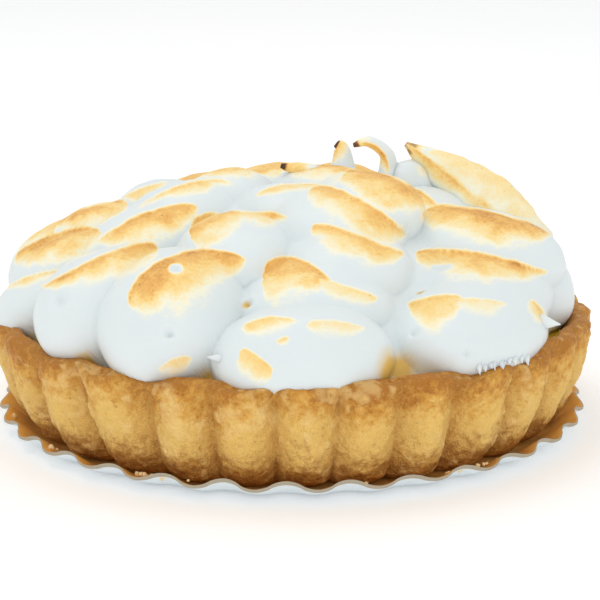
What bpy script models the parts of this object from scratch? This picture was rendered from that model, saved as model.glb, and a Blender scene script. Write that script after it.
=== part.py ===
"""A lemon meringue tart, standing in the pleated gold card case that it comes in.

A fluted shortcrust shell holds lemon curd, and the curd carries a dome of piped meringue:
rows of soft fingers that point inward and, over the middle, five peaks, two of them hooked.

Metres, +Z up. The origin is on the table, under the middle of the tart, and the front is -Y.
An azimuth is in degrees round +Z, from the front towards +X.
"""
import math
import random

import bmesh
import bpy
from mathutils import Matrix, Vector

MM = 0.001
GAP = 0.3 * MM
MERGE = 0.01 * MM

# Card case: a flat round with a rim that rises in pleats.
CARD_RADIUS = 48.6 * MM
CARD_FLAT_RADIUS = 42.8 * MM
CARD_RIM_HEIGHT = 2.6 * MM
CARD_CREASE_SHARE = 1 / 3
CARD_CREASE_RISE = 0.3
CARD_THICKNESS = 0.5 * MM
PLEATS = 33
PLEAT_AZIMUTH = 4.7
PLEAT_OUT = 0.6 * MM
PLEAT_DOWN = 0.45 * MM
STEPS_PER_PLEAT = 4

# Pastry shell: baked in a fluted tin, 100 mm over the ribs. The radius is the wall's at its brim.
SHELL_RADIUS = 50.4 * MM
SHELL_FOOT_RADIUS = 43.5 * MM
SHELL_BOTTOM = CARD_THICKNESS + GAP
SHELL_TOP = 18.2 * MM
SHELL_FLOOR = 4.8 * MM
WALL = 4.2 * MM
WALL_BULGE = 1.8 * MM
BULGE_LOWNESS = 0.7
WALL_RINGS = (8.6 * MM, 4.2 * MM)
FOOT_BEVEL = 0.9 * MM
# The brim's rounding: share of the wall's thickness, drop below the crest, and which way a gap
# round the brim widens it there.
BRIM = ((0.2, 0.45 * MM, -1.0), (0.5, 0.0, 0.0), (0.85, 0.36 * MM, 0.5))
INNER_LIP = 1.8 * MM
OUTER_LIPS = (1.08 * MM, 4.6 * MM)

# Flutes: the azimuths of the uneven grooves in sight, then grooves evenly spread round the back.
FRONT_GROOVES = (-68, -54.5, -40.5, -26.5, -14, -2.7, 8.2, 19.2, 31, 44, 56)
HIDDEN_FLUTES = 19
GROOVE_DEPTH_OUTSIDE = 3.0 * MM
GROOVE_DEPTH_INSIDE = 0.5 * MM
GROOVE_SHARPNESS = 1.0
GROOVE_FADE = 0.35
FADE_ZONE = 3.4 * MM
FADE_LENGTH = 3.0 * MM
STEPS_PER_FLUTE = 6

# The rim's unevenness: azimuth, lift in mm and half width in degrees of each lump or dip. The
# hidden ones are spread over a range of azimuths, each a little out of place.
RIM_ZONE = 6.0 * MM
RIM_LUMPS = (
    (-70, 0.3, 6), (-50, -0.8, 6), (-36, -1.2, 4), (-25, -1.3, 5), (-10, -1.3, 5),
    (3, -0.7, 6), (18, -1.2, 3), (33, -1.5, 5), (47, -1.3, 6), (58, 0.6, 5),
)
HIDDEN_RIM_LUMPS = 12
HIDDEN_RIM = (80, 280)
HIDDEN_LIFT = (-0.5, 0.9)
HIDDEN_SHIFT = 6.0
HIDDEN_WIDTH = (4, 7)

# Lemon curd, up to just under the rim.
CURD_TOP = 16.2 * MM
CURD_EDGE = 0.5 * MM

# Meringue: a core dome with soft mounds half sunk in it.
CORE_RADIUS = 45.5 * MM
CORE_HEIGHT = 33.0 * MM
CORE_BASE = 6.0 * MM
CORE_SEGMENTS = 36
CORE_RINGS = 14
DOME_TOP = 37.8 * MM
DOME_DROP = 0.0105 / MM
MOUND_SEGMENTS = 14
MOUND_RINGS = 10

# Mounds in sight, in mm and degrees:
# azimuth, distance out, half length, half width, half height, lift over the dome, tilt outward.
MOUNDS = (
    (-75, 39.0, 10.5, 10.0, 6.5, -0.8, 16),
    (-49, 38.5, 11.5, 9.8, 9.2, 1.2, 20),
    (-28, 37.0, 13.0, 11.3, 10.2, 0.3, 22),
    (2.5, 40.5, 9.0, 13.3, 8.2, -0.8, 10),
    (44.5, 38.8, 10.3, 15.4, 8.2, -1.4, 12),
    (80, 38.0, 9.5, 11.0, 7.5, -0.4, 20),
    (-80, 36.5, 10.5, 9.0, 6.3, 1.3, 18),
    (-98, 33.5, 10.0, 9.0, 7.0, 1.6, 20),
    (6, 31.0, 10.0, 12.5, 6.3, -1.8, 14),
    (58, 36.3, 9.5, 15.0, 7.0, -0.2, 12),
    (72, 32.0, 14.0, 11.0, 7.0, 2.2, 10),
    (-58, 27.5, 10.5, 9.0, 6.3, 1.4, 16),
    (-20, 25.3, 10.0, 9.2, 6.0, 0.9, 12),
    (19, 26.0, 9.5, 10.5, 6.0, -0.9, 12),
    (-110, 24.0, 8.5, 8.0, 6.0, 0.4, 12),
    (-66, 19.5, 10.0, 9.0, 5.8, 0.6, 12),
    (26, 17.5, 11.0, 11.0, 6.3, -0.1, 14),
    (45, 17.5, 9.5, 9.0, 5.4, 2.8, 6),
    (0, 11.0, 8.0, 9.0, 5.0, -0.8, 6),
    (-80, 11.0, 8.5, 9.0, 5.5, -0.4, 6),
    (60, 7.0, 10.5, 8.0, 5.0, 0.5, 0),
)

# Rows round the back: count, first and last azimuth, then a mound's sizes as above. Each mound
# differs from its row's sizes by up to a share, and from its place by up to an angle.
BACK_CHANGE = 0.06
BACK_SHIFT = 3.0
BACK_ROWS = (
    (7, 105, 259, 38.0, 11.0, 11.0, 8.8, 0.2, 18),
    (6, 98, 236, 31.5, 10.5, 11.0, 6.8, 0.2, 16),
    (5, 84, 224, 22.5, 10.0, 10.0, 6.2, -0.4, 12),
    (2, 130, 200, 11.0, 9.0, 9.5, 5.2, -1.4, 6),
)

# Peaks: points as x, y, z and the thickness as a radius there, all in mm.
PEAKS = {
    "tall": (
        (34, -3, 19, 7.0), (36, -2, 26.4, 7.8), (34.2, -1, 30.8, 7.2), (31.2, 0.5, 35.2, 5.8),
        (27.6, 1.5, 39.0, 4.1), (24.2, 2, 41.4, 2.8), (21.4, 2.5, 43.3, 1.6), (19, 3, 45, 0.4),
    ),
    "hooked": (
        (15.2, 2, 35, 3.4), (16.0, 2, 40.5, 1.7), (15.6, 2, 43.6, 1.2),
        (12.9, 2, 45.5, 0.9), (10.2, 2, 44.9, 0.35),
    ),
    "small": ((8.6, 4, 37, 3.2), (8.5, 4, 42.2, 1.7), (8.2, 4, 44.2, 1.2), (7.4, 4, 44.9, 0.6)),
    "beak": ((8, -3, 38.5, 2.8), (2.5, -3.3, 41.2, 1.7), (-1.8, -3.5, 42.4, 0.4)),
    "saddle": ((18, 2.6, 33, 5.2), (20.3, 2.6, 38, 4.7), (21.8, 2.6, 40.8, 3.0), (22.6, 2.8, 42.6, 0.6)),
}
PEAK_SIDES = 2
PEAK_STEPS = 3

BED_REACH = 70.0 * MM
SMOOTH_ANGLE = 40.0

random_source = random.Random(7)


def polar(azimuth, radius, height):
    """Give the point at an azimuth in degrees, a radius and a height."""
    angle = math.radians(azimuth)
    return Vector((radius * math.sin(angle), -radius * math.cos(angle), height))


def azimuth_of(point):
    """Give a point's azimuth in degrees."""
    return math.degrees(math.atan2(point.x, -point.y))


def smooth_step(value):
    """Ease from 0 to 1 as the value goes from 0 to 1, level at both ends."""
    value = min(max(value, 0.0), 1.0)
    return value * value * (3 - 2 * value)


def spread(first, last, count):
    """Give evenly spaced numbers from the first to the last."""
    return [first + (last - first) * index / (count - 1) for index in range(count)]


def make_material(name, colour, roughness, metallic=0.0):
    """Make a Principled material of one colour."""
    material = bpy.data.materials.new(name)
    material.use_nodes = True
    shader = material.node_tree.nodes["Principled BSDF"]
    shader.inputs["Base Color"].default_value = (*colour, 1.0)
    shader.inputs["Roughness"].default_value = roughness
    shader.inputs["Metallic"].default_value = metallic
    material.diffuse_color = (*colour, 1.0)
    return material


def add_object(name, mesh, collection, material=None):
    """Put a mesh in a collection as an object, with its material."""
    made = bpy.data.objects.new(name, mesh)
    collection.objects.link(made)
    if material:
        mesh.materials.clear()
        mesh.materials.append(material)
    return made


def evaluated_mesh(source):
    """Give a new mesh of an object with its modifiers applied, and remove the object."""
    bpy.context.view_layer.update()
    graph = bpy.context.evaluated_depsgraph_get()
    mesh = bpy.data.meshes.new_from_object(source.evaluated_get(graph))
    bpy.data.objects.remove(source)
    return mesh


def turned_mesh(name, profile, steps, start, collection):
    """Turn a profile of (radius, height) once round Z, with a step at the azimuth start."""
    mesh = bpy.data.meshes.new(name)
    corners = [(radius, 0.0, height) for radius, height in profile]
    mesh.from_pydata(corners, [(index, index + 1) for index in range(len(corners) - 1)], [])
    source = add_object(name, mesh, collection)
    screw = source.modifiers.new("turn", "SCREW")
    screw.steps = steps
    screw.render_steps = steps
    screw.use_merge_vertices = True
    screw.merge_threshold = MERGE
    screw.use_smooth_shade = False
    turned = evaluated_mesh(source)
    turned.transform(Matrix.Rotation(math.radians(start - 90), 4, "Z"))
    return turned


def reshape(mesh, rule):
    """Move each vertex to where the rule puts it."""
    for vertex in mesh.vertices:
        vertex.co = rule(vertex.co.copy())
    mesh.update()


def shade(mesh):
    """Shade smooth, but for edges sharper than an angle."""
    mesh.shade_smooth()
    mesh.set_sharp_from_angle(angle=math.radians(SMOOTH_ANGLE))


GROOVES = list(FRONT_GROOVES) + spread(FRONT_GROOVES[-1], FRONT_GROOVES[0] + 360, HIDDEN_FLUTES + 1)[1:]
FLUTES = len(GROOVES) - 1


def wall_share(height):
    """Give 0 at the shell's foot and 1 at its brim."""
    return min(max((height - SHELL_BOTTOM) / (SHELL_TOP - SHELL_BOTTOM), 0.0), 1.0)


def inner_wall(height):
    """Give the radius of the shell's straight inner face, before its flutes, at a height."""
    return SHELL_FOOT_RADIUS - WALL + (SHELL_RADIUS - SHELL_FOOT_RADIUS) * wall_share(height)


def outer_wall(height):
    """Give the radius of the outer face, which bulges between its foot and its brim."""
    bulge = WALL_BULGE * math.sin(math.pi * wall_share(height) ** BULGE_LOWNESS)
    return inner_wall(height) + WALL + bulge


def brim_outline(gap=0.0):
    """List the brim's points from its inner edge over the crest outward, a gap larger."""
    inner = inner_wall(SHELL_TOP)
    return [(inner + share * WALL + side * gap, SHELL_TOP - drop + gap) for share, drop, side in BRIM]


def uneven_flute(azimuth):
    """Move an azimuth from evenly spread flutes to the real ones, and give the groove there.

    The groove is 0 on a rib's crest and 1 between two ribs.
    """
    turn = (azimuth - GROOVES[0]) % 360 * FLUTES / 360
    before = min(int(turn), FLUTES - 1)
    moved = GROOVES[before] + (turn - before) * (GROOVES[before + 1] - GROOVES[before])
    return moved, 1 - abs(math.sin(math.pi * turn)) ** GROOVE_SHARPNESS


def rim_lumps():
    """List the rim's lumps: those in sight, then smaller ones spread round the back."""
    hidden = []
    for azimuth in spread(*HIDDEN_RIM, HIDDEN_RIM_LUMPS):
        lift = random_source.uniform(*HIDDEN_LIFT)
        shift = random_source.uniform(-HIDDEN_SHIFT, HIDDEN_SHIFT)
        hidden.append((azimuth + shift, lift, random_source.uniform(*HIDDEN_WIDTH)))
    return RIM_LUMPS + tuple(hidden)


LUMPS = rim_lumps()


def rim_lift(azimuth):
    """Give how far the uneven rim stands over its mean height."""
    total = 0.0
    for place, lift, width in LUMPS:
        away = (azimuth - place + 180) % 360 - 180
        total += lift * MM * math.exp(-(away / width) ** 2)
    return total


def flute(point):
    """Press the flutes into a turned point, deep outside and faint inside, and lift the rim."""
    radius = math.hypot(point.x, point.y)
    if radius < MERGE:
        return point
    azimuth, pressed = uneven_flute(azimuth_of(point))
    inside = inner_wall(point.z)
    outside_share = smooth_step((radius - inside) / WALL)
    depth = GROOVE_DEPTH_INSIDE + (GROOVE_DEPTH_OUTSIDE - GROOVE_DEPTH_INSIDE) * outside_share
    depth *= smooth_step(radius / inside)
    depth *= 1 - GROOVE_FADE * smooth_step((point.z - SHELL_TOP + FADE_ZONE) / FADE_LENGTH)
    lift_share = min(3 * outside_share, 1.0) * smooth_step(1 - (SHELL_TOP - point.z) / RIM_ZONE)
    lifted = point.z + rim_lift(azimuth) * lift_share
    return polar(azimuth, radius - depth * pressed, lifted)


def pleat(point):
    """Fold the card's rising rim into pleats, each lower where it stands farther out."""
    radius = math.hypot(point.x, point.y)
    share = (radius - CARD_FLAT_RADIUS) / (CARD_RADIUS - CARD_FLAT_RADIUS)
    if share <= 0:
        return point
    azimuth = azimuth_of(point)
    wave = math.cos(math.radians((azimuth - PLEAT_AZIMUTH) * PLEATS)) * min(share, 1.0)
    return polar(azimuth, radius + PLEAT_OUT * wave, point.z - PLEAT_DOWN * wave * share)


def make_card_case(collection, material):
    """Card case: one sheet, flat under the tart, with its rim folded up in pleats."""
    crease = (CARD_RADIUS - CARD_FLAT_RADIUS) * CARD_CREASE_SHARE
    profile = [
        (0.0, 0.0),
        (CARD_FLAT_RADIUS, 0.0),
        (CARD_FLAT_RADIUS + crease, CARD_RIM_HEIGHT * CARD_CREASE_RISE),
        (CARD_RADIUS, CARD_RIM_HEIGHT),
    ]
    mesh = turned_mesh("card_case", profile, PLEATS * STEPS_PER_PLEAT, PLEAT_AZIMUTH, collection)
    reshape(mesh, pleat)
    shade(mesh)
    case = add_object("card_case", mesh, collection, material)
    sheet = case.modifiers.new("thickness", "SOLIDIFY")
    sheet.thickness = CARD_THICKNESS
    sheet.offset = 1.0
    return case


def make_pastry_shell(collection, material):
    """Pastry shell: a thick sloping wall with a rounded, uneven brim, over a flat base."""
    inside = [
        (0.0, SHELL_FLOOR),
        (inner_wall(SHELL_FLOOR) - 2 * FOOT_BEVEL, SHELL_FLOOR),
        (inner_wall(SHELL_FLOOR + FOOT_BEVEL), SHELL_FLOOR + FOOT_BEVEL),
        (inner_wall(SHELL_TOP - INNER_LIP), SHELL_TOP - INNER_LIP),
    ]
    outside = [(outer_wall(SHELL_TOP - drop), SHELL_TOP - drop) for drop in OUTER_LIPS]
    outside += [(outer_wall(height), height) for height in WALL_RINGS]
    outside += [
        (outer_wall(SHELL_BOTTOM + FOOT_BEVEL), SHELL_BOTTOM + FOOT_BEVEL),
        (SHELL_FOOT_RADIUS - FOOT_BEVEL, SHELL_BOTTOM),
        (0.0, SHELL_BOTTOM),
    ]
    profile = inside + brim_outline() + outside
    mesh = turned_mesh("pastry_shell", profile, FLUTES * STEPS_PER_FLUTE, GROOVES[0], collection)
    reshape(mesh, flute)
    shade(mesh)
    return add_object("pastry_shell", mesh, collection, material)


def make_lemon_curd(collection, material):
    """Lemon curd: it fills the shell to just under its brim, with a slightly rounded edge."""
    bottom = SHELL_FLOOR + GAP
    profile = [
        (0.0, CURD_TOP),
        (inner_wall(CURD_TOP) - GAP - 2 * CURD_EDGE, CURD_TOP),
        (inner_wall(CURD_TOP - CURD_EDGE) - GAP, CURD_TOP - CURD_EDGE),
        (inner_wall(bottom + 2 * CURD_EDGE) - GAP, bottom + 2 * CURD_EDGE),
        (inner_wall(bottom) - 3 * CURD_EDGE - GAP, bottom),
        (0.0, bottom),
    ]
    mesh = turned_mesh("lemon_curd", profile, FLUTES * STEPS_PER_FLUTE // 2, GROOVES[0], collection)
    reshape(mesh, flute)
    shade(mesh)
    return add_object("lemon_curd", mesh, collection, material)


def make_bed(collection):
    """Cutter for the meringue: the curd's top and the brim, a gap larger, and all below them."""
    brim = brim_outline(GAP)
    profile = [
        (0.0, CURD_TOP + GAP),
        (inner_wall(CURD_TOP) - GAP, CURD_TOP + GAP),
        *brim,
        (BED_REACH, brim[-1][1]),
        (BED_REACH, -BED_REACH),
        (0.0, -BED_REACH),
    ]
    mesh = turned_mesh("bed", profile, FLUTES * STEPS_PER_FLUTE, GROOVES[0], collection)
    reshape(mesh, flute)
    bed = add_object("bed", mesh, collection)
    bed.hide_render = True
    bed.display_type = "WIRE"
    return bed


def dome_height(radius):
    """Give the height at which a mound's middle lies on the dome."""
    return DOME_TOP - DOME_DROP * radius * radius


def make_mound(collection, azimuth, out, length, width, height, lift, tilt):
    """Mound of meringue: an egg that points to the middle, tilted down outward."""
    mesh = bpy.data.meshes.new("mound")
    shape = bmesh.new()
    bmesh.ops.create_uvsphere(shape, u_segments=MOUND_SEGMENTS, v_segments=MOUND_RINGS, radius=1.0)
    middle = polar(azimuth, out * MM, dome_height(out * MM) + lift * MM)
    turn = Matrix.Rotation(math.radians(azimuth - 90), 4, "Z") @ Matrix.Rotation(math.radians(tilt), 4, "Y")
    size = Matrix.Diagonal((length * MM, width * MM, height * MM, 1.0))
    bmesh.ops.transform(shape, matrix=Matrix.Translation(middle) @ turn @ size, verts=shape.verts)
    shape.to_mesh(mesh)
    shape.free()
    return add_object("mound", mesh, collection)


def back_mounds():
    """List the mounds round the back, as uneven as those in sight."""
    listed = []
    for count, first, last, *sizes in BACK_ROWS:
        for azimuth in spread(first, last, count):
            changed = [size * random_source.uniform(1 - BACK_CHANGE, 1 + BACK_CHANGE) for size in sizes[1:4]]
            place = azimuth + random_source.uniform(-BACK_SHIFT, BACK_SHIFT)
            listed.append((place, sizes[0], *changed, sizes[4], sizes[5]))
    return listed


def make_peak(collection, name, points):
    """Peak of meringue: a curve that thins from its foot to its hooked tip."""
    curve = bpy.data.curves.new(name, "CURVE")
    curve.dimensions = "3D"
    curve.bevel_depth = MM
    curve.bevel_resolution = PEAK_SIDES
    curve.use_fill_caps = True
    curve.resolution_u = PEAK_STEPS
    line = curve.splines.new("BEZIER")
    line.bezier_points.add(len(points) - 1)
    for knot, (x, y, z, radius) in zip(line.bezier_points, points):
        knot.co = Vector((x, y, z)) * MM
        knot.radius = radius
        knot.handle_left_type = "AUTO"
        knot.handle_right_type = "AUTO"
    source = bpy.data.objects.new(name, curve)
    collection.objects.link(source)
    mesh = evaluated_mesh(source)
    shape = bmesh.new()
    shape.from_mesh(mesh)
    bmesh.ops.remove_doubles(shape, verts=shape.verts, dist=MERGE)
    bmesh.ops.recalc_face_normals(shape, faces=shape.faces)
    shape.to_mesh(mesh)
    shape.free()
    return add_object(name, mesh, collection)


def boolean(target, operation, cutter=None, collection=None):
    """Apply one Boolean with an object or with all the objects of a collection."""
    cut = target.modifiers.new(operation.lower(), "BOOLEAN")
    cut.operation = operation
    if collection:
        cut.operand_type = "COLLECTION"
        cut.collection = collection
    else:
        cut.object = cutter
    name = target.name
    owner = target.users_collection[0]
    mesh = evaluated_mesh(target)
    return add_object(name, mesh, owner)


def keep_outer_skin(mesh):
    """Keep the largest connected skin, without the hollows that fusing has sealed."""
    shape = bmesh.new()
    shape.from_mesh(mesh)
    bmesh.ops.remove_doubles(shape, verts=shape.verts, dist=MERGE)
    left = set(shape.verts)
    skins = []
    while left:
        front = [left.pop()]
        skin = []
        while front:
            vertex = front.pop()
            skin.append(vertex)
            for edge in vertex.link_edges:
                other = edge.other_vert(vertex)
                if other in left:
                    left.remove(other)
                    front.append(other)
        skins.append(skin)
    skins.sort(key=len)
    for skin in skins[:-1]:
        bmesh.ops.delete(shape, geom=skin, context="VERTS")
    bmesh.ops.triangulate(shape, faces=shape.faces)
    shape.to_mesh(mesh)
    shape.free()


def make_meringue(collection, material, mounds, cutters):
    """Meringue: core, mounds and peaks fused into one, then bedded on the curd and the brim."""
    mesh = bpy.data.meshes.new("meringue")
    shape = bmesh.new()
    bmesh.ops.create_uvsphere(shape, u_segments=CORE_SEGMENTS, v_segments=CORE_RINGS, radius=1.0)
    size = Matrix.Diagonal((CORE_RADIUS, CORE_RADIUS, CORE_HEIGHT, 1.0))
    bmesh.ops.transform(shape, matrix=Matrix.Translation((0, 0, CORE_BASE)) @ size, verts=shape.verts)
    shape.to_mesh(mesh)
    shape.free()
    meringue = add_object("meringue", mesh, collection)
    for sizes in MOUNDS + tuple(back_mounds()):
        make_mound(mounds, *sizes)
    for name, points in PEAKS.items():
        make_peak(mounds, name, points)
    meringue = boolean(meringue, "UNION", collection=mounds)
    for used in list(mounds.objects):
        bpy.data.objects.remove(used)
    bed = make_bed(cutters)
    meringue = boolean(meringue, "DIFFERENCE", cutter=bed)
    keep_outer_skin(meringue.data)
    shade(meringue.data)
    meringue.data.materials.clear()
    meringue.data.materials.append(material)
    return meringue


def main():
    """Clear the scene and build the tart."""
    for existing in list(bpy.data.objects):
        bpy.data.objects.remove(existing)
    root = bpy.context.scene.collection
    tart = bpy.data.collections.new("lemon_meringue_tart")
    mounds = bpy.data.collections.new("mounds")
    cutters = bpy.data.collections.new("cutters")
    for collection in (tart, mounds, cutters):
        root.children.link(collection)

    gold_card = make_material("gold_card", (0.62, 0.40, 0.16), 0.3, 0.9)
    pastry = make_material("pastry", (0.66, 0.38, 0.15), 0.75)
    curd = make_material("curd", (0.78, 0.55, 0.05), 0.25)
    white_foam = make_material("white_foam", (0.90, 0.90, 0.87), 0.5)

    make_card_case(tart, gold_card)
    make_pastry_shell(tart, pastry)
    make_lemon_curd(tart, curd)
    make_meringue(tart, white_foam, mounds, cutters)


main()
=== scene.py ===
# %% [markdown]
# # A lemon meringue tart
#
# The tart is four real pieces: a gold card case, a fluted shortcrust shell, the lemon curd
# in it, and the piped meringue on top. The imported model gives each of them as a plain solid
# of the right size. This file puts a finely shaped and finished surface in the place of each,
# then adds a floor, the light and the camera. Scene lengths are in metres. The shapes are
# worked out in millimetres, which are easier to read, and MM turns them into metres.

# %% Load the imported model
import math
import random

import bpy
import numpy as np
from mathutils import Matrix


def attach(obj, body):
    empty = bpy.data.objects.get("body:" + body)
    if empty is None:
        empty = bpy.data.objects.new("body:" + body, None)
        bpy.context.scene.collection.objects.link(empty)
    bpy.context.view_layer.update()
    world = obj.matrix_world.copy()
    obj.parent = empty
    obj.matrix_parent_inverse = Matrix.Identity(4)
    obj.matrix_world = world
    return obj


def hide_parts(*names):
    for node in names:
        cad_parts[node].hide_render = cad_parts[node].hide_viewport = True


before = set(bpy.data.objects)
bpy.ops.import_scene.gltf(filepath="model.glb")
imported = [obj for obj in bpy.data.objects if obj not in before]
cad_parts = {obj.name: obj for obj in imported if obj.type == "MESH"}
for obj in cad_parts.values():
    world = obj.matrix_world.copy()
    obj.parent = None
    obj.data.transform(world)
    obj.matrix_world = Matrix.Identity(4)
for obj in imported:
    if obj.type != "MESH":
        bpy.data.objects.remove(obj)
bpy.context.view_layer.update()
MM = 0.001


def add_object(name, data):
    """Put an object with this mesh, light or camera into the scene."""
    added = bpy.data.objects.new(name, data)
    bpy.context.scene.collection.objects.link(added)
    return added


print("nodes:", sorted(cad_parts))

# %% [markdown]
# ## The view
#
# The camera comes first, because some small marks are placed by where they show in the
# photograph. It looks down by 13.6 degrees from 0.3 m, which the round brim and foot of the
# tart gave. The same few numbers also tell where any point of the tart falls in the picture.

# %% Camera values and the picture they give
CAMERA_AIM = np.array([1.35, 0.0, 18.9])
CAMERA_DISTANCE = 300.0
CAMERA_PITCH = math.radians(13.6)
FOCAL_PIXELS = 1778
FRAME_PIXELS = 600
SENSOR_WIDTH = 36.0
FORWARD = np.array([0.0, math.cos(CAMERA_PITCH), -math.sin(CAMERA_PITCH)])
UPWARD = np.array([0.0, math.sin(CAMERA_PITCH), math.cos(CAMERA_PITCH)])
CAMERA_PLACE = CAMERA_AIM - CAMERA_DISTANCE * FORWARD


def in_picture(place):
    """Where points in mm fall in the 600 pixel frame, and their depth: x and y over depth."""
    offset = place - CAMERA_PLACE
    depth = offset @ FORWARD
    across = FRAME_PIXELS / 2 + FOCAL_PIXELS * offset[..., 0] / depth
    down = FRAME_PIXELS / 2 - FOCAL_PIXELS * (offset @ UPWARD) / depth
    return across, down, depth


def add_camera():
    """Make the scene's camera from the same values."""
    lens = bpy.data.cameras.new("camera")
    lens.sensor_width = SENSOR_WIDTH
    lens.lens = SENSOR_WIDTH * FOCAL_PIXELS / FRAME_PIXELS
    lens.clip_start = 0.01
    camera = add_object("camera", lens)
    camera.location = CAMERA_PLACE * MM
    camera.rotation_euler = (math.pi / 2 - CAMERA_PITCH, 0, 0)
    bpy.context.scene.camera = camera
    print("lens in mm:", round(lens.lens, 1))


add_camera()

# %% [markdown]
# ## Writing shader maths as expressions
#
# A material is a graph of nodes. Wiring each Math node by hand hides the idea behind it, so
# a socket is wrapped in a small class: `1 - mask * 0.5` then adds the nodes itself. Every
# other node comes from one method that takes its type, its settings and its sockets.

# %% A value in a material, and the material it belongs to
class Value:
    """One output of a node, on which + - * and / add Math nodes."""

    def __init__(self, finish, socket):
        self.finish = finish
        self.socket = socket

    def math(self, operation, first, second):
        """Add the Math node of an operation on two values."""
        return self.finish.node("ShaderNodeMath", {"operation": operation}, {0: first, 1: second})

    def __add__(self, other):
        return self.math("ADD", self, other)

    def __sub__(self, other):
        return self.math("SUBTRACT", self, other)

    def __mul__(self, other):
        return self.math("MULTIPLY", self, other)

    def __truediv__(self, other):
        return self.math("DIVIDE", self, other)

    def __rsub__(self, other):
        return self.math("SUBTRACT", other, self)

    __radd__ = __add__

    def between(self, low, high):
        """Ease from 0 to 1 as the value goes from low to high."""
        settings = {"interpolation_type": "SMOOTHSTEP"}
        sockets = {"Value": self, "From Min": low, "From Max": high}
        return self.finish.node("ShaderNodeMapRange", settings, sockets)


class Finish:
    """A Principled material that is built node by node."""

    def __init__(self, name, **constants):
        self.material = bpy.data.materials.new(name)
        self.material.use_nodes = True
        self.tree = self.material.node_tree
        self.shader = self.tree.nodes["Principled BSDF"]
        self.set(self.shader, constants)

    def set(self, node, sockets):
        """Give a node's sockets their values or links. A key's underscore stands for a space."""
        for key, given in sockets.items():
            socket = node.inputs[key.replace("_", " ") if isinstance(key, str) else key]
            if isinstance(given, Value):
                self.tree.links.new(given.socket, socket)
            else:
                socket.default_value = given

    def node(self, kind, settings=None, sockets=None, output=0):
        """Add a node of a kind, settings first, and give one of its outputs."""
        node = self.tree.nodes.new(kind)
        for key, given in (settings or {}).items():
            if key == "stops":
                ramp = node.color_ramp.elements
                while len(ramp) < len(given):
                    ramp.new(0.5)
                for stop, (place, colour) in zip(ramp, given):
                    stop.position = place
                    stop.color = (*colour, 1.0)
            else:
                setattr(node, key, given)
        self.set(node, sockets or {})
        return Value(self, node.outputs[output])

    def paint(self, **sockets):
        """Give the shader's own sockets their values or links."""
        self.set(self.shader, sockets)

    def attribute(self, name):
        """Read a number that the mesh holds at each vertex."""
        return self.node("ShaderNodeAttribute", {"attribute_name": name}, output="Fac")

    def place(self):
        """Read the place on the object."""
        return self.node("ShaderNodeTexCoord", output="Object")

    def noise(self, size, detail=3.0, roughness=0.55):
        """Read a cloudy pattern whose lumps are about a size in mm across."""
        sockets = {
            "Vector": self.place(), "Scale": 1 / (size * MM), "Detail": detail, "Roughness": roughness,
        }
        return self.node("ShaderNodeTexNoise", {}, sockets)

    def mix(self, share, first, second):
        """Blend two colours by a share."""
        settings = {"data_type": "RGBA"}
        first, second = ((*c, 1.0) if isinstance(c, tuple) else c for c in (first, second))
        return self.node("ShaderNodeMix", settings, {0: share, 6: first, 7: second}, output=2)

    def ramp(self, value, *stops):
        """Read a colour ramp of (place, colour) stops at a value."""
        return self.node("ShaderNodeValToRGB", {"stops": stops}, {0: value})

    def bump(self, height, distance, strength=1.0):
        """Turn a height pattern of so many mm into a bumped normal."""
        sockets = {"Height": height, "Distance": distance * MM, "Strength": strength}
        return self.node("ShaderNodeBump", {}, sockets)


print("helpers: Value, Finish")

# %% [markdown]
# ## Surfaces from arrays
#
# Every piece here is round, so each is a grid of points: rows follow a profile and columns
# go once round the middle. The last column joins the first, and the first and last rows close
# on single points. Working on whole arrays keeps a hundred thousand points quick. The columns
# crowd a little towards the front, where the tart is looked at from nearest.

# %% Round grids, soft noise and small helpers
def smooth_step(value):
    """Ease from 0 to 1 as value goes from 0 to 1: 3v^2 - 2v^3, held at both ends."""
    value = np.clip(value, 0.0, 1.0)
    return value * value * (3 - 2 * value)


def bell(offset, width):
    """A bell-shaped lump: e to the minus (offset over width) squared."""
    return np.exp(-((offset / width) ** 2))


def polar(azimuth, radius, height):
    """Points at azimuths in degrees from the front (-Y) towards +X, at radii and heights."""
    angle = np.radians(azimuth)
    return np.stack(np.broadcast_arrays(radius * np.sin(angle), -radius * np.cos(angle), height), -1)


def azimuth_of(place):
    """The azimuth in degrees of points, from -180 to 180."""
    return np.degrees(np.arctan2(place[..., 0], -place[..., 1]))


def columns_round(count, crowding=0.35):
    """Azimuths once round, closer together at the front: turn minus crowding times its sine."""
    turn = np.linspace(0, 2 * np.pi, count, endpoint=False)
    return np.degrees(turn - crowding * np.sin(turn))[None, :]


LATTICE = 32


def soft_noise(points, cell, seed):
    """Random numbers at the corners of a lattice, blended smoothly between them: -1 to 1."""
    lattice = np.random.default_rng(seed).uniform(-1, 1, (LATTICE, LATTICE, LATTICE))
    corner = np.floor(points / cell).astype(int)
    share = smooth_step(points / cell - corner)
    total = 0.0
    for offset in np.ndindex(2, 2, 2):
        weight = np.prod(np.where(offset, share, 1 - share), axis=-1)
        across, along, up = np.moveaxis((corner + offset) % LATTICE, -1, 0)
        total = total + weight * lattice[across, along, up]
    return total


def rough_noise(points, cell, seed, octaves=3):
    """Soft noise, plus finer and weaker noise at half the cell, and so on."""
    return sum(soft_noise(points, cell / 2**i, seed + i) / 2**i for i in range(octaves))


def rounded(corners, passes=3):
    """Round an outline's corners: each pass puts two points on every side, at 1/4 and 3/4."""
    line = np.array(corners, float)
    for _ in range(passes):
        before, after = line[:-1], line[1:]
        cut = np.stack([0.75 * before + 0.25 * after, 0.25 * before + 0.75 * after], 1).reshape(-1, 2)
        line = np.vstack([line[:1], cut, line[-1:]])
    return line


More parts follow.
